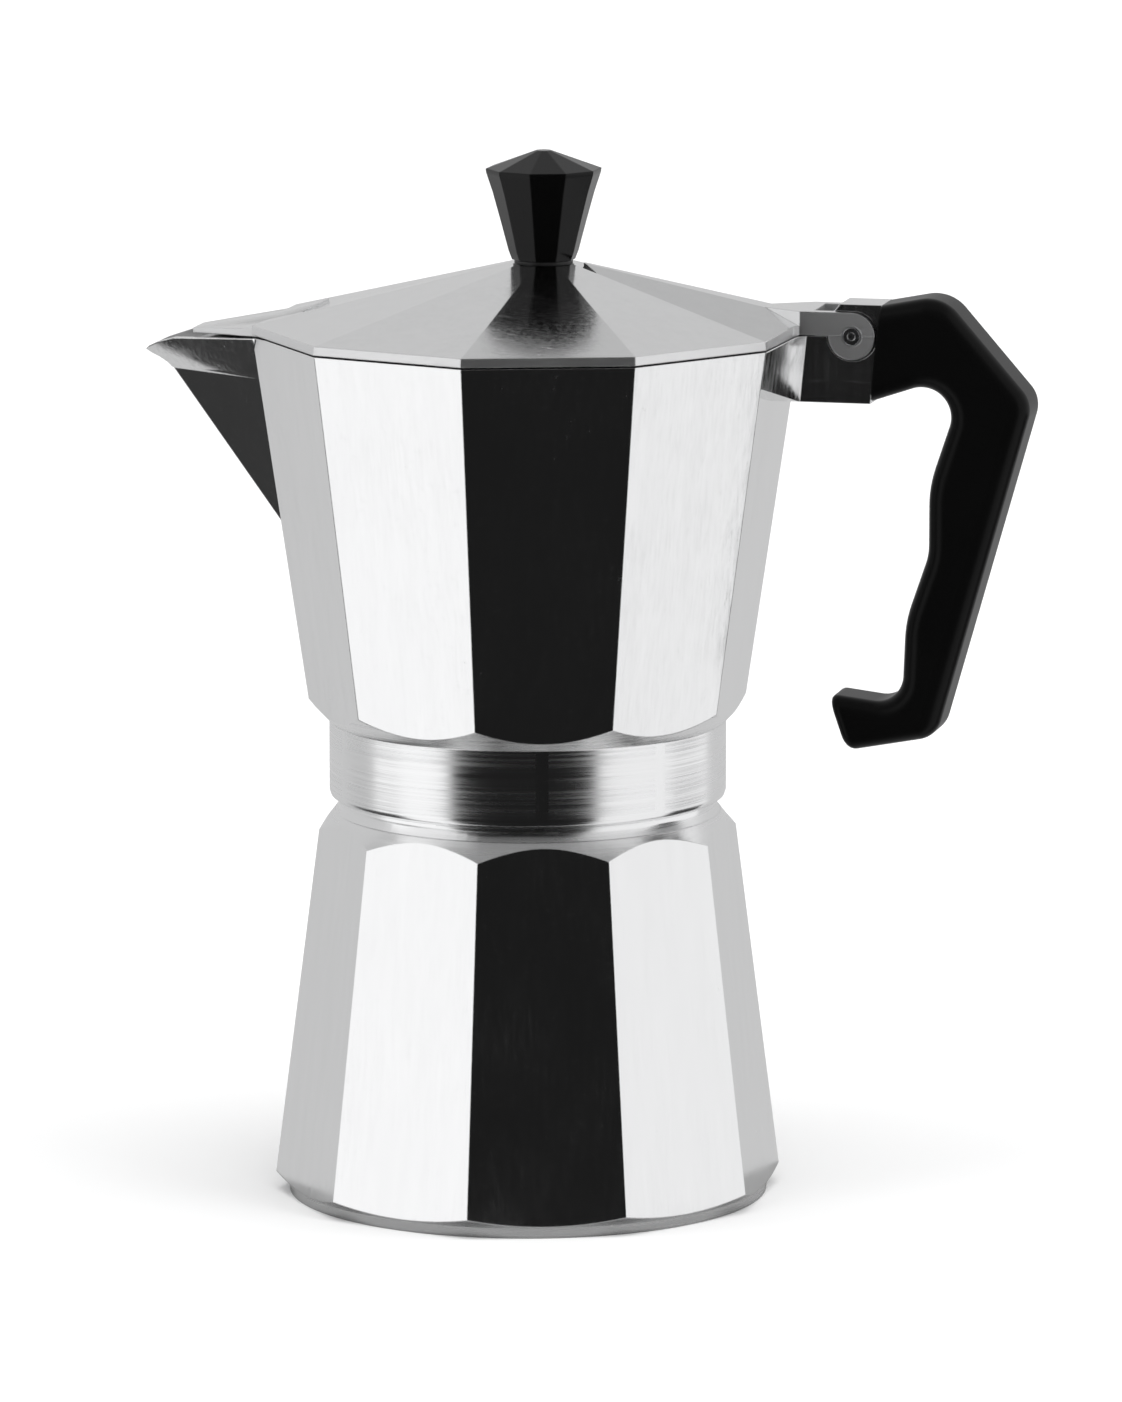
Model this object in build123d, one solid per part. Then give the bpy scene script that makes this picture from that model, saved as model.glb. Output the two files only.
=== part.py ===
from build123d import *
import math
import os

# Stove-top moka pot. Millimetres, +Z up. The origin is where the pot's axis meets the
# surface it stands on. The handle points along +X and the spout along -X.

# Ten-sided body
side_count = 10
flat_turn = 180 / side_count
flat_cos = math.cos(math.radians(flat_turn))
flat_sin = math.sin(math.radians(flat_turn))

# Boiler
base_contact_radius = 49.6
foot_height = 2.2
foot_radius = 49.8
base_edge_radius = 54.0
base_edge_height = 5.1
boiler_low_height = 3.65
boiler_low_radius = 52.5
boiler_high_height = 76.4
boiler_high_radius = 43.2
neck_height = 82.0
neck_radius = 38.6
boiler_rim_height = 93.0
boiler_mouth_radius = 32.5
boiler_floor = 3.2

# Screw thread between boiler and collector
thread_pitch = 3.0
thread_core_radius = 37.2
thread_crest_radius = 38.35
thread_bore_radius = 38.8
thread_inner_crest_radius = 37.6
thread_root_width = 1.6
thread_crest_width = 0.7

# Safety valve, on the flat at 108 degrees
valve_angle = 108
valve_height = 58.0
valve_shank_radius = 5.0
valve_chamber_radius = 3.3
valve_seat_depth = -3.6
valve_nose_top = 7.4
valve_stem_radius = 1.1
spring_wire = 0.6
spring_radius = 2.3

# Funnel
funnel_flange_radius = 35.0
funnel_flange_thickness = 1.0
funnel_cup_radius = 31.2
funnel_wall = 0.8
funnel_cup_floor = 72.0
funnel_stem_radius = 4.6
funnel_stem_bottom = 8.5
strainer_thickness = 0.6

# Gasket and filter plate
gasket_bottom = boiler_rim_height + funnel_flange_thickness
gasket_thickness = 3.0
gasket_outer_radius = 35.9
gasket_inner_radius = 28.5
plate_radius = 31.0
plate_thickness = 0.8
seat_height = gasket_bottom + gasket_thickness

# Collector
collar_radius = 41.0
collar_bottom = 82.9
collar_top = 99.0
gasket_bore_radius = 36.3
collector_low_height = 103.5
collector_low_radius = 45.3
rim_height = 178.9
rim_radius = 56.5
collector_wall = 2.7
collector_floor = 100.8
boss_top = 116.0
column_radius = 7.5
column_top = 160.0
column_bore_radius = 3.6

# Spout
spout_start = 131.4
spout_keel_slope = 0.73
spout_keel_x = -70.45
spout_keel_height = 162.8
lip_height = 169.5
lip_slope = 1.7
spout_wall = 1.8
spout_foot_round = 0.8
channel_start = 138.5
spout_half_angle = 30.2
lip_half_angle = 24.0
spout_round = 1.2
spout_tip_x = -80.8
rim_fall_start = -49.2
rim_fall = 0.088

# Hinge
hinge_x = 69.4
hinge_z = 181.4
lug_radius = 4.85
pin_radius = 1.3
pin_head_radius = 1.75
tongue_half = 5.2
cheek_inner = 5.5
cheek_outer = 7.9
cheek_lower_face = 7.6
block_half = 7.2
block_bottom = 167.65
block_front = 58.7
block_lean = 0.1
flare_front = 57.9
flare_half = 8.2
block_shoulder = 181.2
block_top = 187.6
block_rear_low = 73.26
block_rear_high = 75.15
pocket_half = 3.0
pocket_front = 66.0
pocket_bottom = 171.0
pocket_top = 184.6

# Lid
lid_bottom = 179.3
lid_edge = 181.1
lid_peak_x = 3.4
cover_strip_half = 4.2
cover_tip_x = -70.0
lid_flat_height = 193.8
lid_flat_radius = 7.0
lid_under_height = 191.5
lid_under_radius = 54.0
peak = Vector(3.56, 0, 195.6)
bridge_top = hinge_z + lug_radius
bridge_rear = 61.2

# Knob
knob_washer_radius = 6.0
knob_bottom = 194.4
knob_edge = 212.3
knob_rim = 213.1
knob_top = 216.8

# Handle
handle_half = 8.0
handle_round = 3.8


def decagon(radius, height, centre_x=0):
    """Ten-sided outline with flats facing +X and -X."""
    return Pos(centre_x, 0, height) * RegularPolygon(radius, side_count, rotation=flat_turn)


def ten_sided(levels, centre_x=0, smooth=False):
    """Ten-sided solid through (height, corner radius) levels."""
    outlines = [decagon(radius, height, centre_x) for height, radius in levels]
    return loft(outlines, ruled=not smooth)


def turned(points):
    """Solid turned about the pot's axis from a closed (radius, height) outline."""
    return revolve(Plane.XZ * make_face(Polyline(*points, close=True)), Axis.Z)


def side_plate(points, y_low, y_high):
    """Plate with an (x, z) outline between two y planes."""
    outline = make_face(Polyline(*[(x, 0, z) for x, z in points], close=True))
    return Pos(0, y_low, 0) * extrude(outline, amount=y_high - y_low, dir=(0, 1, 0))


def cross_cylinder(x, z, radius, y_low, y_high):
    """Cylinder along Y between two y planes."""
    disc = Plane(origin=(x, y_low, z), z_dir=(0, 1, 0)) * Circle(radius)
    return extrude(disc, amount=y_high - y_low)


def upright(plan, low, high):
    """Upright prism with an (x, y) outline."""
    return Pos(0, 0, low) * extrude(make_face(Polyline(*plan, close=True)), amount=high - low)


def plane_through(a, b, c):
    """Plane through three points, facing up."""
    normal = (Vector(*b) - Vector(*a)).cross(Vector(*c) - Vector(*a))
    if normal.Z < 0:
        normal = normal * -1
    return Plane(origin=a, z_dir=normal)


def roofed(plan, low, a, b, c):
    """Upright prism whose top is the plane through three points."""
    tall = upright(plan, low, peak.Z + 10)
    return split(tall, bisect_by=plane_through(a, b, c), keep=Keep.BOTTOM)


def mirrored(shape):
    """A shape and its mirror image across the XZ plane."""
    return shape + mirror(shape, about=Plane.XZ)


def collector_radius(height):
    """Corner radius of the collector's outside at a height."""
    rise = (rim_radius - collector_low_radius) / (rim_height - collector_low_height)
    return collector_low_radius + rise * (height - collector_low_height)


def boiler_radius(height):
    """Corner radius of the boiler's outside at a height."""
    rise = (boiler_high_radius - boiler_low_radius) / (boiler_high_height - boiler_low_height)
    return boiler_low_radius + rise * (height - boiler_low_height)


def thread_ridge(root_radius, crest_radius, start, turns):
    """One helical ridge, wide at its root radius and narrow at its crest radius."""
    height = turns * thread_pitch
    edges = []
    for radius, width in ((root_radius, thread_root_width), (crest_radius, thread_crest_width)):
        for side in (-1, 1):
            edges.append(Helix(thread_pitch, height, radius, center=(0, 0, start + side * width / 2)))
    root_low, root_high, crest_low, crest_high = edges
    loops = [(root_low, root_high), (root_high, crest_high), (crest_high, crest_low), (crest_low, root_low)]
    faces = [Face.make_surface_from_curves(a.edge(), b.edge()) for a, b in loops]
    corners = (root_low, root_high, crest_high, crest_low)
    for end in (0, 1):
        faces.append(Face(Wire.make_polygon([edge @ end for edge in corners])))
    return Solid(Shell(faces))


def valve_place():
    """Local frame of the safety valve: origin on the boiler's flat, Z outward."""
    reach = boiler_radius(valve_height) * flat_cos
    turn = math.radians(valve_angle)
    lean = (boiler_low_radius - boiler_high_radius) / (boiler_high_height - boiler_low_height) * flat_cos
    spot = (reach * math.cos(turn), reach * math.sin(turn), valve_height)
    return Plane(origin=spot, z_dir=(math.cos(turn), math.sin(turn), lean))


def stacked(steps):
    """Cylinders along Z from (radius, low, high) steps, joined."""
    pieces = [Pos(0, 0, low) * extrude(Circle(radius), amount=high - low) for radius, low, high in steps]
    joined = pieces[0]
    for piece in pieces[1:]:
        joined = joined + piece
    return joined


def perforated_disc(radius, thickness, height, hole_radius, pitch, field):
    """Flat disc with a hexagonal field of holes."""
    holes = []
    row_step = pitch * math.sqrt(3) / 2
    rows = int(field / row_step)
    for row in range(-rows, rows + 1):
        shift = pitch / 2 if row % 2 else 0
        for column in range(-rows - 1, rows + 2):
            x = column * pitch + shift
            y = row * row_step
            if math.hypot(x, y) <= field:
                holes.append(Pos(x, y) * Circle(hole_radius))
    return Pos(0, 0, height) * extrude(Circle(radius) - holes, amount=thickness)


def boiler():
    facets = ten_sided([(0, boiler_radius(0)), (80, boiler_radius(80))])
    outline = Polyline((0, 0), (base_contact_radius, 0))
    outline += Polyline(
        (base_contact_radius, 0), (foot_radius, foot_height), (base_edge_radius, base_edge_height),
        (base_edge_radius, 68), (45.2, 74.2),
    )
    outline += ThreePointArc((45.2, 74.2), (41.9, 77.5), (neck_radius, neck_height))
    outline += Polyline((neck_radius, neck_height), (0, neck_height), (0, 0))
    envelope = revolve(Plane.XZ * make_face(outline), Axis.Z)
    neck = turned([
        (0, 80), (38, 80), (neck_radius, neck_height), (38.3, 84.2), (thread_core_radius, 84.9),
        (thread_core_radius, 92.4), (36.6, boiler_rim_height), (0, boiler_rim_height),
    ])
    shell = (facets & envelope) + neck + neck_shoulder()
    shell = shell + thread_ridge(thread_core_radius - 0.2, thread_crest_radius, 85.7, 1.8)
    cavity = turned([
        (0, boiler_floor), (44, boiler_floor), (46.2, 5.6), (37.9, 74), (36.4, 78), (33.2, 83.6),
        (boiler_mouth_radius, 85.4), (boiler_mouth_radius, 95), (0, 95),
    ])
    valve_hole = valve_place() * stacked([(valve_shank_radius, -10, 5)])
    return shell - cavity - valve_hole


def neck_shoulder():
    """Turned shoulder above the facets, where they run out into the neck."""
    outline = Polyline((0, 79.4), (40.25, 79.4))
    outline += ThreePointArc((40.25, 79.4), (39.35, 80.7), (neck_radius, neck_height))
    outline += Polyline((neck_radius, neck_height), (0, neck_height), (0, 79.4))
    return revolve(Plane.XZ * make_face(outline), Axis.Z)


def valve_body():
    shank = stacked([(valve_shank_radius, -4.6, 1.0), (5.6, 4.9, valve_nose_top)])
    hexagon = Pos(0, 0, 1.0) * extrude(RegularPolygon(7.0, 6, major_radius=False), amount=4.0)
    body = shank + hexagon
    bore = stacked([(valve_chamber_radius, valve_seat_depth, 8), (1.5, -5, 0)])
    return valve_place() * (body - bore)


def valve_washer():
    return valve_place() * (stacked([(7.6, 0, 1.0)]) - stacked([(valve_shank_radius, -1, 2)]))


def valve_cap():
    ring = stacked([(valve_chamber_radius, 5.6, valve_nose_top)])
    return valve_place() * (ring - stacked([(valve_stem_radius + 0.35, 5, 8)]))


def valve_seal():
    return valve_place() * stacked([(2.6, valve_seat_depth, -2.8)])


def valve_plunger():
    head = stacked([(2.8, -2.8, -2.0), (valve_stem_radius, -2.0, 8.6), (1.5, -2.0, -1.0)])
    return valve_place() * head


def valve_spring():
    coil = Helix(1.4, 7.0, spring_radius, center=(0, 0, -2.0 + spring_wire / 2))
    section = Plane(origin=coil @ 0, z_dir=coil % 0) * Circle(spring_wire / 2)
    return valve_place() * sweep(section, path=coil, is_frenet=True)


def funnel():
    flange_top = boiler_rim_height + funnel_flange_thickness
    inner = funnel_cup_radius - funnel_wall
    stem_inner = funnel_stem_radius - funnel_wall
    return turned([
        (stem_inner, funnel_stem_bottom), (funnel_stem_radius, funnel_stem_bottom),
        (funnel_stem_radius, 62.0), (funnel_cup_radius - 1.6, 69.6), (funnel_cup_radius, 71.0),
        (funnel_cup_radius, boiler_rim_height), (funnel_flange_radius, boiler_rim_height),
        (funnel_flange_radius, flange_top), (inner, flange_top), (inner, funnel_cup_floor),
        (inner - 1.6, funnel_cup_floor), (inner - 1.6, 70.4), (stem_inner, 62.8),
    ])


def funnel_strainer():
    radius = funnel_cup_radius - funnel_wall - 0.2
    return perforated_disc(radius, strainer_thickness, funnel_cup_floor, 0.8, 4.6, 26)


def gasket():
    ring = stacked([(gasket_outer_radius, gasket_bottom, seat_height)])
    bore = stacked([
        (gasket_inner_radius, gasket_bottom - 1, seat_height + 1),
        (plate_radius, seat_height - plate_thickness, seat_height + 1),
    ])
    return ring - bore


def filter_plate():
    return perforated_disc(plate_radius, plate_thickness, seat_height - plate_thickness, 0.8, 4.0, 24)


def coffee_column():
    tube = turned([
        (column_bore_radius, 110.5), (column_radius, 110.5), (column_radius, boss_top), (9.2, boss_top),
        (9.2, boss_top + 1.2), (7.4, 118), (5.8, column_top), (4.4, 163), (0, 163.8),
        (0, 161), (column_bore_radius, 159.5),
    ])
    slot = Pos(0, 0, 156.5) * Box(3.2, 20, 4.6)
    return tube - slot


def spout_outline(height, tip_x, half, tip_round, root_depth):
    """Wedge outline of the spout at a height: flat sides at a half angle, rounded keel."""
    root_x = -collector_radius(height) * flat_cos
    sharp_x = tip_x - tip_round * (1 / math.sin(half) - 1)
    root_y = (root_x - sharp_x) * math.tan(half)
    face = make_face(Polyline(
        (root_x + root_depth, -root_y, height), (root_x, -root_y, height), (sharp_x, 0, height),
        (root_x, root_y, height), (root_x + root_depth, root_y, height), close=True,
    ))
    return fillet(face.vertices().sort_by(Axis.X)[0], tip_round)


def keel_x(height):
    """Where the keel stands at a height; the lip flares above lip_height."""
    straight = spout_keel_x - spout_keel_slope * (min(height, lip_height) - spout_keel_height)
    return straight - lip_slope * max(0, height - lip_height)


def fallen(height, x):
    """Height of a rim that falls towards the spout's tip, at a place along the spout."""
    return height - rim_fall * (rim_fall_start - x)


def spout_wedge(start, end, wall, round_low, round_high, depth):
    """Straight stretch of the spout's wedge between two heights, a wall inside its sides."""
    half_low = math.radians(spout_half_angle)
    half_high = math.radians(spout_half_angle if end <= lip_height else lip_half_angle)
    low_tip = keel_x(start) + wall / math.sin(half_low)
    high_tip = keel_x(end) + wall / math.sin(half_high)
    low = spout_outline(start, low_tip, half_low, round_low, depth)
    high = spout_outline(end, high_tip, half_high, round_high, depth)
    return loft([low, high], ruled=True)


def collector():
    facets = ten_sided([(97, collector_radius(97)), (rim_height, rim_radius)])
    undercut = turned([
        (0, 97), (39, 97), (collar_radius, collar_top), (collector_low_radius, collector_low_height),
        (70, 128.2), (70, 200), (0, 200),
    ])
    collar = turned([
        (0, collar_bottom), (39.9, collar_bottom), (40.7, 83.5), (collar_radius, 84.4),
        (collar_radius, collar_top), (0, collar_top),
    ])
    outside = (facets & undercut) + collar + spout_outside() + hinge_block()
    outside = outside + boss()
    inner_facets = ten_sided([
        (collector_floor, collector_radius(collector_floor) - collector_wall),
        (rim_height + 1, rim_radius - collector_wall),
    ])
    inner_turned = turned([
        (0, boss_top + 60), (0, boss_top), (10.6, boss_top), (11.4, 115.2), (27, 102.6),
        (31, collector_floor), (37, collector_floor), (40, 102.4), (43.2, 107), (70, 141), (70, 176),
    ])
    room = (inner_facets & inner_turned) + ten_sided([
        (170, collector_radius(170) - collector_wall), (182, collector_radius(182) - collector_wall),
    ])
    bore = turned([
        (0, 80), (39.4, 80), (39.4, 84.6), (thread_bore_radius, 85.2), (thread_bore_radius, 93.2),
        (gasket_bore_radius, 93.2), (gasket_bore_radius, seat_height), (27, seat_height),
        (6.5, 109.5), (6.5, 111), (0, 111),
    ])
    hollow = outside - room - bore - spout_channel() - stacked([(column_radius, 105, 125)])
    hollow = hollow + thread_ridge(thread_bore_radius + 0.2, thread_inner_crest_radius, 87.2, 1.8)
    fall = side_plate([
        (rim_fall_start, rim_height), (-60, fallen(rim_height, -60)), (-60, 185), (rim_fall_start, 185),
    ], -30, 30)
    return hollow - fall


def boss():
    """Cone and boss on the collector's floor, which hold the coffee column."""
    return turned([
        (0, 98), (33, 98), (31, collector_floor), (27, 102.6), (11.4, 115.2), (10.6, boss_top), (0, boss_top),
    ])


def spout_outside():
    """Wedge spout with a lip; its rim falls towards the tip."""
    low = spout_wedge(spout_start, lip_height, 0, spout_foot_round, spout_round, 1.4)
    high = spout_wedge(lip_height, rim_height, 0, spout_round, 3.0, 1.4)
    trim = side_plate([
        (-40, 120), (-40, rim_height), (rim_fall_start, rim_height), (-73, fallen(rim_height, -73)),
        (-77.5, 175.4), (-79.8, 174.3), (spout_tip_x, 173.5), (-79.8, 172.75), (-77.9, 171.9),
        (-76.3, 170.8), (-75.3, 169.6), (-90, 130), (-90, 120),
    ], -25, 25)
    trim = trim + side_plate([(-40, 120), (-40, 171), (-75.9, 169.9), (-90, 150), (-90, 120)], -25, 25)
    return (low + high) & trim


def spout_channel():
    """Open channel inside the spout, through the body's wall."""
    low = spout_wedge(channel_start, lip_height, spout_wall, 0.6, 1.0, 6)
    high = spout_wedge(lip_height, 185, spout_wall, 1.0, 1.6, 6)
    return low + high


def hinge_block():
    """Block behind the rim: flared root, tongue for the lid's lugs, pocket for the handle."""
    lower = side_plate([
        (51, block_bottom), (block_rear_low, block_bottom), (74.55, block_shoulder), (51, block_shoulder),
    ], -block_half, block_half)
    tongue = side_plate([
        (64.6, 176), (64.6, 185.4), (66.4, block_top), (block_rear_high, block_top),
        (block_rear_low + 0.8, 176),
    ], -tongue_half, tongue_half)
    shape = (lower - lug_recess()) + tongue + block_flare()
    over_rim = side_plate([(40, rim_height), (53.7, rim_height), (58.4, block_shoulder), (40, 190)], -30, 30)
    pocket = Pos((pocket_front + 80) / 2, 0, (pocket_bottom + pocket_top) / 2) * Box(
        80 - pocket_front, 2 * pocket_half, pocket_top - pocket_bottom
    )
    return shape - over_rim - pocket - cross_cylinder(hinge_x, hinge_z, pin_radius, -10, 10)


def lug_recess():
    """Round recesses beside the tongue, where the lid's lugs turn."""
    near = cross_cylinder(hinge_x, hinge_z, lug_radius + 0.3, -10, -tongue_half)
    return mirrored(near)


def flare_plan(height):
    """Outline of the block's root at a height; it leans out as the body's flat does."""
    lean = block_lean * (height - block_bottom)
    root = collector_radius(height)
    plan = [(48, -root * flat_sin), (root * flat_cos - 0.3, -root * flat_sin)]
    plan += [(flare_front + lean, -flare_half), (block_front + lean, -block_half)]
    plan += [(x, -y) for x, y in reversed(plan)]
    return Pos(0, 0, height) * make_face(Polyline(*plan, close=True))


def block_flare():
    """Root that spreads from the block to the full width of the flat."""
    front = make_face(Polyline(
        (47, -17.4, 171.6), (47, -block_half, block_bottom), (47, block_half, block_bottom),
        (47, 17.4, 171.6), (47, 17.6, block_shoulder), (47, -17.6, block_shoulder), close=True,
    ))
    spread = loft([flare_plan(160), flare_plan(block_shoulder)], ruled=True)
    return spread & extrude(front, amount=16, dir=(1, 0, 0))


def lid():
    cap = ten_sided([(lid_bottom, rim_radius + 0.2), (lid_edge, rim_radius)])
    flat = decagon(lid_flat_radius, lid_flat_height, lid_peak_x)
    roof = loft([decagon(rim_radius, lid_edge), flat], ruled=True)
    under_flat = decagon(lid_flat_radius, lid_under_height, lid_peak_x)
    under = loft([decagon(lid_under_radius, lid_bottom - 0.1), under_flat], ruled=True)
    shell = cap + roof - under
    shell = shell + hinge_gable() + spout_cover()
    shell = shell + mirrored(cheek()) + bridge()
    shell = shell - cross_cylinder(hinge_x, hinge_z, pin_radius + 0.05, -10, 10)
    shell = shell - mirrored(cross_cylinder(hinge_x, hinge_z, pin_head_radius + 0.3, -10, -7.5))
    return shell - Pos(lid_peak_x, 0, 185) * Cylinder(2.3, 20)


def hinge_gable():
    """Two low roof planes that carry the lid up to its hinge bridge."""
    crest = (50.5, -3.0, bridge_top)
    corner = (rim_radius * flat_cos, -rim_radius * flat_sin, lid_edge)
    start = (12, -(12 - peak.X) * 3.0 / (50.5 - peak.X))
    plan = [start, crest[:2], (58.7, -cheek_outer), (57.6, -8.6), corner[:2], (16, -4.4)]
    half = roofed(plan, lid_bottom, (peak.X, 0, peak.Z), crest, corner)
    strip_plan = [(12, start[1]), (50.5, -3.0), (50.5, 3.0), (12, -start[1])]
    strip = roofed(strip_plan, lid_bottom, (peak.X, 0, peak.Z), crest, (50.5, 3.0, bridge_top))
    below = side_plate([
        (0, 170), (60, 170), (60, 182), (58.7, block_shoulder + 0.25), (53.9, lid_bottom), (51.5, lid_bottom),
        (46.5, 180.8), (10, 190.0), (0, 190.0),
    ], -30, 30)
    return mirrored(half) + strip - below


def bridge():
    """Flat-topped bridge that joins the two cheeks."""
    plan = [(50.5, -3.0), (58.7, -cheek_outer), (bridge_rear, -cheek_outer)]
    plan += [(x, -y) for x, y in reversed(plan)]
    return upright(plan, hinge_z + 0.1, bridge_top)


def cheek():
    """Hinge cheek on the near side: bar and round lug, thinner below the hinge line."""
    bar = [(58.7, hinge_z + 0.1), (hinge_x, hinge_z + 0.1), (hinge_x, bridge_top), (58.7, bridge_top)]
    inner = side_plate(bar, -cheek_lower_face, -cheek_inner)
    inner = inner + cross_cylinder(hinge_x, hinge_z, lug_radius, -cheek_lower_face, -cheek_inner)
    upper_half = side_plate([(50, hinge_z + 0.1), (80, hinge_z + 0.1), (80, 190), (50, 190)], -10, 0)
    outer = side_plate(bar, -cheek_outer, -cheek_lower_face)
    outer = outer + cross_cylinder(hinge_x, hinge_z, lug_radius, -cheek_outer, -cheek_lower_face)
    return inner + (outer & upper_half)


def spout_cover():
    """Peak of the lid over the spout: a raised gable on the lid and a falling roof beyond it."""
    half = cover_strip_half
    gable_end = (-43.2, -half, 184.4)
    ridge = (-52.7, -half, 181.8)
    nose = (cover_tip_x, -half, 178.5)
    foot = (rim_fall_start, -21.5, lid_edge)
    rear = roofed([gable_end[:2], ridge[:2], foot[:2]], lid_edge - 1.5, gable_end, ridge, foot)
    side = roofed([ridge[:2], nose[:2], foot[:2]], 176, ridge, nose, foot)
    rear_plan = [(-43.2, -half), (-52.7, -half), (-52.7, half), (-43.2, half)]
    rear_strip = roofed(rear_plan, lid_edge - 1.5, gable_end, ridge, (-43.2, half, 184.4))
    strip_plan = [(-52.7, -half), (cover_tip_x, -half), (cover_tip_x, half), (-52.7, half)]
    strip = roofed(strip_plan, 176, ridge, nose, (-52.7, half, 181.8))
    below = side_plate([
        (rim_fall_start, 170), (rim_fall_start, lid_bottom), (-75, fallen(lid_bottom, -75)), (-75, 170),
    ], -30, 30)
    return mirrored(rear + side) + rear_strip + strip - below


def knob():
    flare = ten_sided([
        (knob_bottom, 6.5), (196.2, 7.2), (202.4, 8.84), (208.4, 10.5), (knob_edge, 11.8),
    ], lid_peak_x)
    edge = ten_sided([(knob_edge, 11.8), (knob_rim, 11.9)], lid_peak_x)
    top = ten_sided([(knob_rim, 11.9), (knob_top, 1.6)], lid_peak_x)
    return flare + edge + top - on_knob_axis([(3.2, 194, 205)])


def on_knob_axis(steps):
    """Cylinders on the knob's axis from (radius, low, high) steps."""
    return Pos(lid_peak_x, 0, 0) * stacked(steps)


def knob_insert():
    return on_knob_axis([(3.2, 194.6, 205)]) - on_knob_axis([(2.0, 190, 210)])


def knob_washer():
    return on_knob_axis([(knob_washer_radius, lid_flat_height, knob_bottom)]) - on_knob_axis([(2.3, 190, 200)])


def knob_screw():
    screw = on_knob_axis([(3.6, 189.9, lid_under_height), (2.0, lid_under_height, 203)])
    slot = Pos(lid_peak_x, 0, 189.9) * Box(9, 0.9, 1.4)
    return screw - slot


def hinge_pin():
    head = cross_cylinder(hinge_x, hinge_z, pin_head_radius, -7.95, -7.55)
    dimple = cross_cylinder(hinge_x, hinge_z, 0.8, -8.5, -7.65)
    shank = cross_cylinder(hinge_x, hinge_z, pin_radius, -7.55, 7.55)
    return shank + mirrored(head) - mirrored(dimple)


def handle():
    """Grip in the XZ plane with rounded rims, a cut hook end and a tongue for the block's pocket."""
    root_high = (block_rear_high, block_top)
    root_low = (block_rear_low + 0.05, block_bottom + 0.3)
    end_low = (68.6, 95.7)
    end_high = (64.6, 107.3)
    back = FilletPolyline(
        root_high, (87.6, 190.0), (106.4, 168.5), (86.9, 99.2), end_low, radius=[8, 6, 5.5]
    )
    end = Line(end_low, end_high)
    grip = FilletPolyline(
        root_low, (93.0, 174.6), (85.1, 150.9), (85.1, 136.8), (80.4, 123.0), (79.7, 105.5), end_high,
        radius=[6, 25, 12, 25, 5.5],
    )
    front = Line(root_low, root_high)
    body = extrude(Plane.XZ * make_face(back + end + grip + front), amount=handle_half, both=True)
    sides = body.faces().sort_by(Axis.Y)
    rims = sides[0].edges() + sides[-1].edges()
    cuts = [(point[0] + other[0]) / 2 for point, other in ((root_high, root_low), (end_low, end_high))]
    rims = [edge for edge in rims if min(abs(edge.center().X - x) for x in cuts) > 0.3]
    body = fillet(rims, handle_round)
    tongue = Pos((pocket_front + 76.5) / 2, 0, (pocket_bottom + pocket_top) / 2) * Box(
        76.5 - pocket_front, 2 * pocket_half, pocket_top - pocket_bottom
    )
    return body + tongue - cross_cylinder(hinge_x, hinge_z, pin_radius, -10, 10)


parts = {
    "boiler": boiler,
    "valve_body": valve_body,
    "valve_washer": valve_washer,
    "valve_cap": valve_cap,
    "valve_plunger": valve_plunger,
    "valve_seal": valve_seal,
    "valve_spring": valve_spring,
    "funnel": funnel,
    "funnel_strainer": funnel_strainer,
    "gasket": gasket,
    "filter_plate": filter_plate,
    "collector": collector,
    "coffee_column": coffee_column,
    "lid": lid,
    "knob": knob,
    "knob_insert": knob_insert,
    "knob_washer": knob_washer,
    "knob_screw": knob_screw,
    "hinge_pin": hinge_pin,
    "handle": handle,
}

os.makedirs("parts", exist_ok=True)
for name, make in parts.items():
    export_step(make(), f"parts/{name}.step")
    print("made", name)
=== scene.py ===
import bpy
import bmesh
import math
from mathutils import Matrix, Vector


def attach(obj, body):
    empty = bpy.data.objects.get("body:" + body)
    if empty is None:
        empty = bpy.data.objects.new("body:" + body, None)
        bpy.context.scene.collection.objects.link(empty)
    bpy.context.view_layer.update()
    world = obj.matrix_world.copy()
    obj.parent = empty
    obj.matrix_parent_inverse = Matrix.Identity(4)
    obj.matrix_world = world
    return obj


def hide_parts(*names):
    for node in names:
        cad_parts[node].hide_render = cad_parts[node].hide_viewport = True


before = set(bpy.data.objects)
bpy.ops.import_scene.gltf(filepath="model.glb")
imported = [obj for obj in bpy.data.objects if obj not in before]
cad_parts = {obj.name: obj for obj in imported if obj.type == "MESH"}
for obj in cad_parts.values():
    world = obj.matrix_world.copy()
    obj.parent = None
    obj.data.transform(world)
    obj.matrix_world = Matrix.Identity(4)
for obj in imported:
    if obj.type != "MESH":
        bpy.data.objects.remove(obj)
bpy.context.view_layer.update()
print("frame loaded:", len(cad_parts), "nodes")

mm = 0.001
scene = bpy.context.scene


class Wire:  # one output socket, so shader maths reads as plain sums
    def __init__(self, sheet, socket):
        self.sheet = sheet
        self.socket = socket

    def maths(self, operation, *values):
        return self.sheet.node("ShaderNodeMath", {"operation": operation}, dict(enumerate(values)))

    def __add__(self, other):
        return self.maths("ADD", self, other)

    def __radd__(self, other):
        return self.maths("ADD", other, self)

    def __sub__(self, other):
        return self.maths("SUBTRACT", self, other)

    def __rsub__(self, other):
        return self.maths("SUBTRACT", other, self)

    def __mul__(self, other):
        return self.maths("MULTIPLY", self, other)

    def __rmul__(self, other):
        return self.maths("MULTIPLY", other, self)


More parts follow.
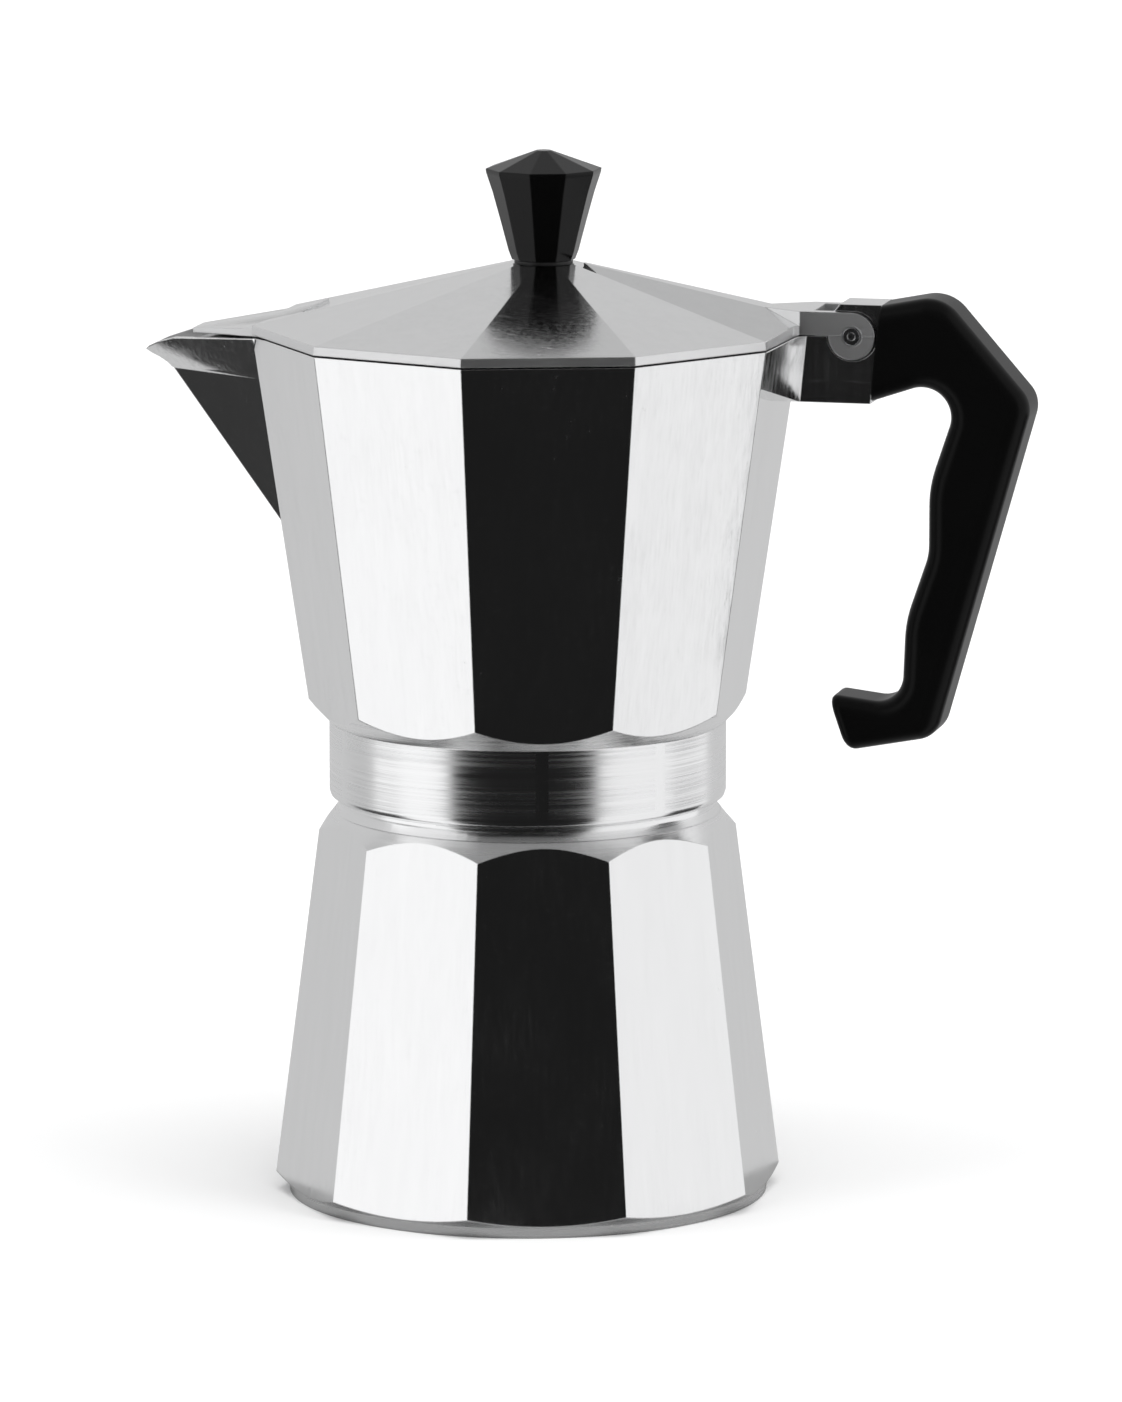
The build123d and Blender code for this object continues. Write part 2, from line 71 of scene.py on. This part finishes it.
class Sheet:  # a material's or the world's own node tree
    def __init__(self, owner):
        owner.use_nodes = True
        self.tree = owner.node_tree
        self.tree.nodes.clear()

    def node(self, kind, settings=None, inputs=None, out=0):
        made = self.tree.nodes.new(kind)
        for name, value in (settings or {}).items():
            setattr(made, name, value)
        for name, value in (inputs or {}).items():
            if isinstance(value, Wire):
                self.tree.links.new(value.socket, made.inputs[name])
            else:
                made.inputs[name].default_value = value
        return Wire(self, made.outputs[out]) if made.outputs else None

    def place(self):  # where a point lies on the pot, in metres
        return self.node("ShaderNodeTexCoord", None, None, "Object")

    def parts(self, vector):
        split = self.node("ShaderNodeSeparateXYZ", None, {0: vector})
        outputs = split.socket.node.outputs
        return [Wire(self, outputs[i]) for i in range(3)]

    def joined(self, x, y, z):
        return self.node("ShaderNodeCombineXYZ", None, {0: x, 1: y, 2: z})

    def turned(self, vector, turn=(0, 0, 0), scale=(1, 1, 1)):
        return self.node("ShaderNodeMapping", None, {"Vector": vector, "Rotation": turn, "Scale": scale})

    def noise(self, vector, scale, detail=2.0, rough=0.5):
        return self.node("ShaderNodeTexNoise", None,
                         {"Vector": vector, "Scale": scale, "Detail": detail, "Roughness": rough})

    def band(self, value, low, high, toLow=0.0, toHigh=1.0):
        return self.node("ShaderNodeMapRange", {"interpolation_type": "SMOOTHSTEP"}, {
            "Value": value, "From Min": low, "From Max": high, "To Min": toLow, "To Max": toHigh})

    def blended(self, amount, first, second):
        return self.node("ShaderNodeMix", {"data_type": "RGBA"}, {0: amount, 6: first, 7: second}, 2)

    def bump(self, height, strength, distance, normal=None):
        inputs = {"Height": height, "Strength": strength, "Distance": distance}
        if normal:
            inputs["Normal"] = normal
        return self.node("ShaderNodeBump", None, inputs)

    def rounded(self, radius):  # a normal that runs softly over an arris
        return self.node("ShaderNodeBevel", {"samples": 6}, {"Radius": radius})

    def finish(self, shader):
        self.node("ShaderNodeOutputMaterial", None, {"Surface": shader})


def tone(value, tint=(1, 1, 1)):
    return (value * tint[0], value * tint[1], value * tint[2], 1)


camera = {"lens": 248.66, "sensor": 36.0,
          "stand": (0.463596, -1.915505, 0.442893), "aim": (0.006679, 0.001592, 0.102353)}

cameraData = bpy.data.cameras.new("camera")
cameraData.lens = camera["lens"]
cameraData.sensor_width = camera["sensor"]
cameraData.clip_start = 0.05
cameraObject = bpy.data.objects.new("camera", cameraData)
scene.collection.objects.link(cameraObject)
cameraObject.location = camera["stand"]
cameraAim = Vector(camera["aim"]) - Vector(camera["stand"])
cameraObject.rotation_euler = cameraAim.to_track_quat("-Z", "Y").to_euler()
scene.camera = cameraObject
scene.view_settings.view_transform = "Standard"
print("camera set")


# studio: pale floor, pale walls as seen in the metal, one soft light overhead

studio = {
    "floorReach": 9.0, "matReach": 0.07, "floorTone": 0.86, "paintedShadeInMetal": 0.4,
    "leftBox": (-177, -123, 1.1), "rightBox": (-35, 52, 0.97), "frontDark": (-121.5, -36.5, 0.012),
    "backWall": 0.63, "ceiling": 0.3, "ceilingStart": 46, "ceilingEnd": 64, "soft": 2.5,
    "tableEnd": (158, -13, 0.04), "flareDark": (17, 48, -12, 0.05),
    "crownShade": (33.5, 38, 0.16),
    "lightSpread": 75, "lightPower": 3.0, "lightTilt": (12, 8, 0),
    "mottleScale": 3.0, "mottle": 0.02, "blue": 1.004,
}


def floorMaterial():
    material = bpy.data.materials.new("paleFloor")
    sheet = Sheet(material)
    mottle = sheet.noise(sheet.place(), studio["mottleScale"], 2.0)
    tint = sheet.blended(mottle, tone(studio["floorTone"]), tone(studio["floorTone"] + studio["mottle"]))
    # seen in the metal the floor is painted darker: painted shade standing in for the contact shadow
    # around the base
    paintedShadeMask = sheet.node("ShaderNodeLightPath", None, None, "Is Glossy Ray")
    tint = sheet.blended(paintedShadeMask, tint, tone(studio["paintedShadeInMetal"]))
    sheet.finish(sheet.node("ShaderNodeBsdfDiffuse", None, {"Color": tint, "Roughness": 0.6}))
    return material


def buildFloor():  # a round mat that shows in the metal, and the wide floor outside it that doesn't
    material = floorMaterial()
    for name, radius in (("mat", studio["matReach"]), ("floor", studio["floorReach"])):
        mesh = bpy.data.meshes.new(name)
        bm = bmesh.new()
        bmesh.ops.create_circle(bm, cap_ends=True, radius=radius, segments=96)
        if name == "floor":
            bmesh.ops.inset_individual(bm, faces=bm.faces[:], thickness=radius - studio["matReach"])
            inner = [face for face in bm.faces if len(face.verts) > 4]
            bmesh.ops.delete(bm, geom=inner, context="FACES_ONLY")
        bm.to_mesh(mesh)
        bm.free()
        mesh.materials.append(material)
        piece = bpy.data.objects.new(name, mesh)
        scene.collection.objects.link(piece)
        piece.visible_glossy = name == "mat"


def between(sheet, value, low, high, soft):
    return sheet.band(value, low - soft, low + soft) * sheet.band(value, high - soft, high + soft, 1, 0)


def buildWorld():  # azimuth and rise, in degrees, pick what the metal mirrors; the camera sees white
    world = bpy.data.worlds.new("studio")
    scene.world = world
    sheet = Sheet(world)
    direction = sheet.node("ShaderNodeTexCoord", None, None, "Generated")
    x, y, z = sheet.parts(direction)
    azimuth = x.maths("ARCTAN2", y, x) * math.degrees(1)
    rise = z.maths("ARCSINE", z) * math.degrees(1)
    glow = studio["backWall"]
    for key in ("leftBox", "rightBox", "frontDark"):
        low, high, level = studio[key]
        inside = between(sheet, azimuth, low, high, studio["soft"])
        glow = glow * (1 - inside) + inside * level
    low, high, amount = studio["crownShade"]
    glow = glow * (1 - sheet.band(rise, low, high) * amount)
    overhead = sheet.band(rise, studio["ceilingStart"], studio["ceilingEnd"])
    glow = glow * (1 - overhead) + overhead * studio["ceiling"]
    side, drop, level = studio["tableEnd"]
    shade = sheet.band(azimuth.maths("ABSOLUTE", azimuth), side - 2, side + 2)
    shade = shade * sheet.band(rise, drop - 3, drop, 1, 0)
    glow = glow * (1 - shade) + shade * level
    low, high, drop, level = studio["flareDark"]
    shade = sheet.band(azimuth, low - 1, low + 1) * sheet.band(azimuth, high - 2, high + 2, 1, 0)
    shade = shade * sheet.band(rise, drop - 3, drop, 1, 0)
    glow = glow * (1 - shade) + shade * level
    seen = sheet.node("ShaderNodeLightPath", None, None, "Is Camera Ray")
    glow = glow * (1 - seen) + seen
    tint = sheet.joined(glow, glow, glow * studio["blue"])
    shader = sheet.node("ShaderNodeBackground", None, {"Color": tint, "Strength": 1.0})
    sheet.node("ShaderNodeOutputWorld", None, {"Surface": shader})


def buildLight():
    data = bpy.data.lights.new("overhead", "SUN")
    data.angle = math.radians(studio["lightSpread"])
    data.energy = studio["lightPower"]
    light = bpy.data.objects.new("overhead", data)
    scene.collection.objects.link(light)
    light.rotation_euler = [math.radians(turn) for turn in studio["lightTilt"]]
    light.visible_glossy = False
    light.visible_camera = False


buildFloor()
buildWorld()
buildLight()
print("studio built")


metal = {
    "aluminium": (0.888, 0.89, 0.893), "brass": (0.78, 0.56, 0.24), "steel": (0.6, 0.6, 0.61),
    "facetRough": 0.15, "turnedRough": 0.24, "bandRough": 0.44, "insideRough": 0.42,
    "turnedPitch": 1300, "turnedHeight": 5e-5, "turnedSpread": 0.45,
    "strokeTurns": ((0.4, 0.9, 0.3), (1.3, 0.2, 2.1), (2.2, 1.1, 0.8)), "strokeStretch": (90, 1900, 900),
    "cloudScale": 38.0,
}


def polished(name, colour, rough, spread, across, along, bumpHeight, scratchy=0.3, cloudy=0.05,
             arris=0.25, turnedLines=False):
    material = bpy.data.materials.new(name)
    sheet = Sheet(material)
    place = sheet.place()
    x, y, z = sheet.parts(place)
    fine = sheet.noise(sheet.joined(x * across, y * across, z * along), 1.0, 3.0, 0.6)
    wide = sheet.noise(sheet.joined(x * (across * 0.22), y * (across * 0.22), z * (along * 0.3)), 1.0, 2.0)
    cloud = sheet.noise(place, metal["cloudScale"], 2.0)
    strokes = []
    for turn in metal["strokeTurns"]:
        lane = sheet.turned(place, turn, metal["strokeStretch"])
        strokes.append(sheet.band(sheet.noise(lane, 1.0, 1.0), 0.66, 0.78))
    scratch = strokes[0].maths("MAXIMUM", strokes[0], strokes[1])
    scratch = scratch.maths("MAXIMUM", scratch, strokes[2]) * scratchy
    roughness = rough + spread * (fine - 0.5) + spread * 0.8 * (cloud - 0.5) + scratch * 0.12
    shade = sheet.blended(wide * 0.6 + cloud * 0.4, tone(1 - cloudy, colour), tone(1.0, colour))
    normal = sheet.bump(fine + wide * 0.5 - scratch * 0.6, 0.35, bumpHeight, sheet.rounded(arris * mm))
    if turnedLines:  # the same all the way round, so they read as cuts from a lathe
        radius = x.maths("SQRT", x * x + y * y)
        lane = (z + radius * 0.7) * metal["turnedPitch"]
        cuts = sheet.noise(sheet.joined(lane, x * 9, y * 9), 1.0, 2.0, 0.7)
        normal = sheet.bump(cuts, 0.6, metal["turnedHeight"], normal)
        roughness = roughness + metal["turnedSpread"] * (cuts - 0.5)
    shader = sheet.node("ShaderNodeBsdfPrincipled", None, {
        "Base Color": shade, "Metallic": 1.0, "Roughness": roughness, "Normal": normal})
    sheet.finish(shader)
    return material


facetMetal = polished("facetAluminium", metal["aluminium"], metal["facetRough"], 0.26, 1300, 30, 1.6e-5,
                      0.5, 0.08, 0.4)
bandMetal = polished("bandAluminium", metal["aluminium"], metal["bandRough"], 0.12, 300, 2400, 6e-6,
                     0.3, 0.06, 0.4)
turnedMetal = polished("turnedAluminium", metal["aluminium"], metal["turnedRough"], 0.1, 55, 900, 4e-6,
                       0.08, 0.05, 0.4, True)
castMetal = polished("castAluminium", metal["aluminium"], metal["insideRough"], 0.2, 700, 700, 2.5e-5,
                     0.1, 0.2)
sheetMetal = polished("sheetAluminium", metal["aluminium"], 0.3, 0.14, 900, 900, 8e-6, 0.2, 0.1)
brassMetal = polished("brass", metal["brass"], 0.24, 0.14, 60, 2600, 6e-6, 0.2, 0.15)
steelMetal = polished("steel", metal["steel"], 0.22, 0.12, 1200, 1200, 4e-6, 0.2, 0.08)


def moulded(name, colour, rough, spread, bumpHeight, grainScale, shine=0.5, arris=0.3):
    material = bpy.data.materials.new(name)
    sheet = Sheet(material)
    place = sheet.place()
    grain = sheet.noise(place, grainScale, 3.0, 0.6)
    ripple = sheet.noise(place, 60.0, 2.0)
    smudge = sheet.noise(place, 26.0, 3.0, 0.6)
    roughness = rough + spread * (smudge - 0.5) + spread * 0.5 * (grain - 0.5)
    shade = sheet.blended(smudge, tone(0.75, colour), tone(1.25, colour))
    normal = sheet.bump(grain * 0.6 + ripple, 0.3, bumpHeight, sheet.rounded(arris * mm))
    shader = sheet.node("ShaderNodeBsdfPrincipled", None, {
        "Base Color": shade, "Roughness": roughness, "Normal": normal, "Specular IOR Level": shine})
    sheet.finish(shader)
    return material


knobPlastic = moulded("knobPlastic", (0.003, 0.003, 0.003), 0.16, 0.08, 1e-5, 2400, 0.19, 0.5)
handlePlastic = moulded("handlePlastic", (0.003, 0.003, 0.003), 0.3, 0.12, 2e-5, 3200, 0.09, 0.5)
rubberBlack = moulded("sealRubber", (0.02, 0.02, 0.02), 0.55, 0.15, 3e-5, 2200)
gasketRubber = moulded("gasketRubber", (0.55, 0.53, 0.48), 0.5, 0.15, 3e-5, 1500)
print("materials mixed")


# cast and moulded pieces: copies of the frame's solids, merged and shaded as whole surfaces

cast = {"merge": 4e-6, "flat": 0.35, "crease": 22, "facetCrease": 7, "facetArea": 4e-6, "evenWeight": 100,
        "nearAxis": 1, "facetTurn": 36, "facetSlack": 1.2}


def cleanCopy(nodeName):
    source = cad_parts[nodeName]
    bm = bmesh.new()
    bm.from_mesh(source.data)
    bmesh.ops.remove_doubles(bm, verts=bm.verts, dist=cast["merge"])
    bmesh.ops.dissolve_limit(bm, angle_limit=math.radians(cast["flat"]), verts=bm.verts, edges=bm.edges)
    print(nodeName, "faces", len(bm.faces), "open", sum(1 for e in bm.edges if len(e.link_faces) != 2))
    return bm


def castPiece(bm, pieceName, nodeName, body, materials, choose):
    for face in bm.faces:
        face.material_index = choose(face)
        face.smooth = True
    for edge in bm.edges:
        if len(edge.link_faces) == 2:
            angle = math.degrees(edge.calc_face_angle(0))
            broad = min(face.calc_area() for face in edge.link_faces) > cast["facetArea"]
            edge.smooth = angle < (cast["facetCrease"] if broad else cast["crease"])
    mesh = bpy.data.meshes.new(pieceName)
    bm.to_mesh(mesh)
    bm.free()
    for material in materials:
        mesh.materials.append(material)
    piece = bpy.data.objects.new(pieceName, mesh)
    scene.collection.objects.link(piece)
    weighted = piece.modifiers.new("evenShading", "WEIGHTED_NORMAL")
    weighted.keep_sharp = True
    weighted.weight = cast["evenWeight"]
    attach(piece, body)
    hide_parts(nodeName)
    print(pieceName, "made:", len(mesh.polygons), "faces")
    return piece


def facesInward(face):
    centre = face.calc_center_median()
    across = Vector((centre.x, centre.y, 0))
    return across.length > cast["nearAxis"] * mm and face.normal.dot(across.normalized()) < -0.1


def isFacet(face):
    if abs(face.normal.z) > 0.3:
        return False
    turn = math.degrees(math.atan2(face.normal.y, face.normal.x))
    half = cast["facetTurn"] / 2
    return abs((turn + half) % cast["facetTurn"] - half) < cast["facetSlack"]


# boiler: base and shoulder turned, ten polished facets, bare casting inside
boilerPiece = {"floorTop": 6}


def boilerFinish(face):
    centre = face.calc_center_median()
    if facesInward(face) or (face.normal.z > 0.8 and centre.z < boilerPiece["floorTop"] * mm):
        return 2
    return 0 if isFacet(face) else 1


bm = cleanCopy("boiler")
castPiece(bm, "boilerCasting", "boiler", "boiler_body",
          (facetMetal, turnedMetal, castMetal), boilerFinish)


# collector: turned collar below the polished body, bare casting inside
collectorPiece = {"collarTop": 104, "roomTop": 180, "roomRadius": 62}


def collectorFinish(face):
    centre = face.calc_center_median()
    inRoom = math.hypot(centre.x, centre.y) < collectorPiece["roomRadius"] * mm
    if facesInward(face) and inRoom and centre.z < collectorPiece["roomTop"] * mm:
        return 2
    if centre.z > collectorPiece["collarTop"] * mm or isFacet(face):
        return 0
    return 1


bm = cleanCopy("collector")
castPiece(bm, "collectorCasting", "collector", "collector_body",
          (facetMetal, turnedMetal, castMetal), collectorFinish)


# lid: polished cone, duller upright band and lugs, bare casting below
lidPiece = {"below": -0.2, "upright": 0.3}


def lidFinish(face):
    if face.normal.z < lidPiece["below"]:
        return 1
    return 2 if abs(face.normal.z) < lidPiece["upright"] else 0


bm = cleanCopy("lid")
castPiece(bm, "lidCasting", "lid", "lid_body",
          (facetMetal, castMetal, bandMetal), lidFinish)


# knob: one moulding
bm = cleanCopy("knob")
castPiece(bm, "knobMoulding", "knob", "lid_body", (knobPlastic,), lambda face: 0)


# handle: the hook's cut end gets a rounded rim
handlePiece = {"rim": 1.9, "segments": 5, "endLean": 19, "endSlack": 25, "endBelow": 109, "endBefore": 70}

bm = cleanCopy("handle")
lean = math.radians(handlePiece["endLean"])
endNormal = Vector((-math.cos(lean), 0, -math.sin(lean)))


def isHookEnd(face):
    centre = face.calc_center_median()
    low = centre.z < handlePiece["endBelow"] * mm and centre.x < handlePiece["endBefore"] * mm
    return low and face.normal.angle(endNormal) < math.radians(handlePiece["endSlack"])


hookEnd = max(filter(isHookEnd, bm.faces), key=lambda face: face.calc_area())
bmesh.ops.bevel(bm, geom=list(hookEnd.edges), offset=handlePiece["rim"] * mm, offset_type="OFFSET",
                segments=handlePiece["segments"], profile=0.5, affect="EDGES", material=-1,
                clamp_overlap=False)
castPiece(bm, "handleMoulding", "handle", "collector_body", (handlePlastic,),
          lambda face: 0)


# the rest keep the frame's solids and get their finishes

finishes = {
    "coffee_column": turnedMetal, "funnel": sheetMetal, "funnel_strainer": sheetMetal,
    "filter_plate": sheetMetal, "valve_body": brassMetal, "valve_washer": brassMetal,
    "valve_cap": brassMetal, "knob_insert": brassMetal, "valve_seal": rubberBlack, "gasket": gasketRubber,
    # the knob washer gets black rubber so the ring under the knob reads dark: painted shade for the gap
    # under the knob
    "valve_plunger": steelMetal, "valve_spring": steelMetal, "knob_washer": rubberBlack,
    "knob_screw": steelMetal, "hinge_pin": steelMetal,
}
for nodeName, material in finishes.items():
    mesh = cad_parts[nodeName].data
    mesh.materials.clear()
    mesh.materials.append(material)
print("finishes given to", len(finishes), "nodes")
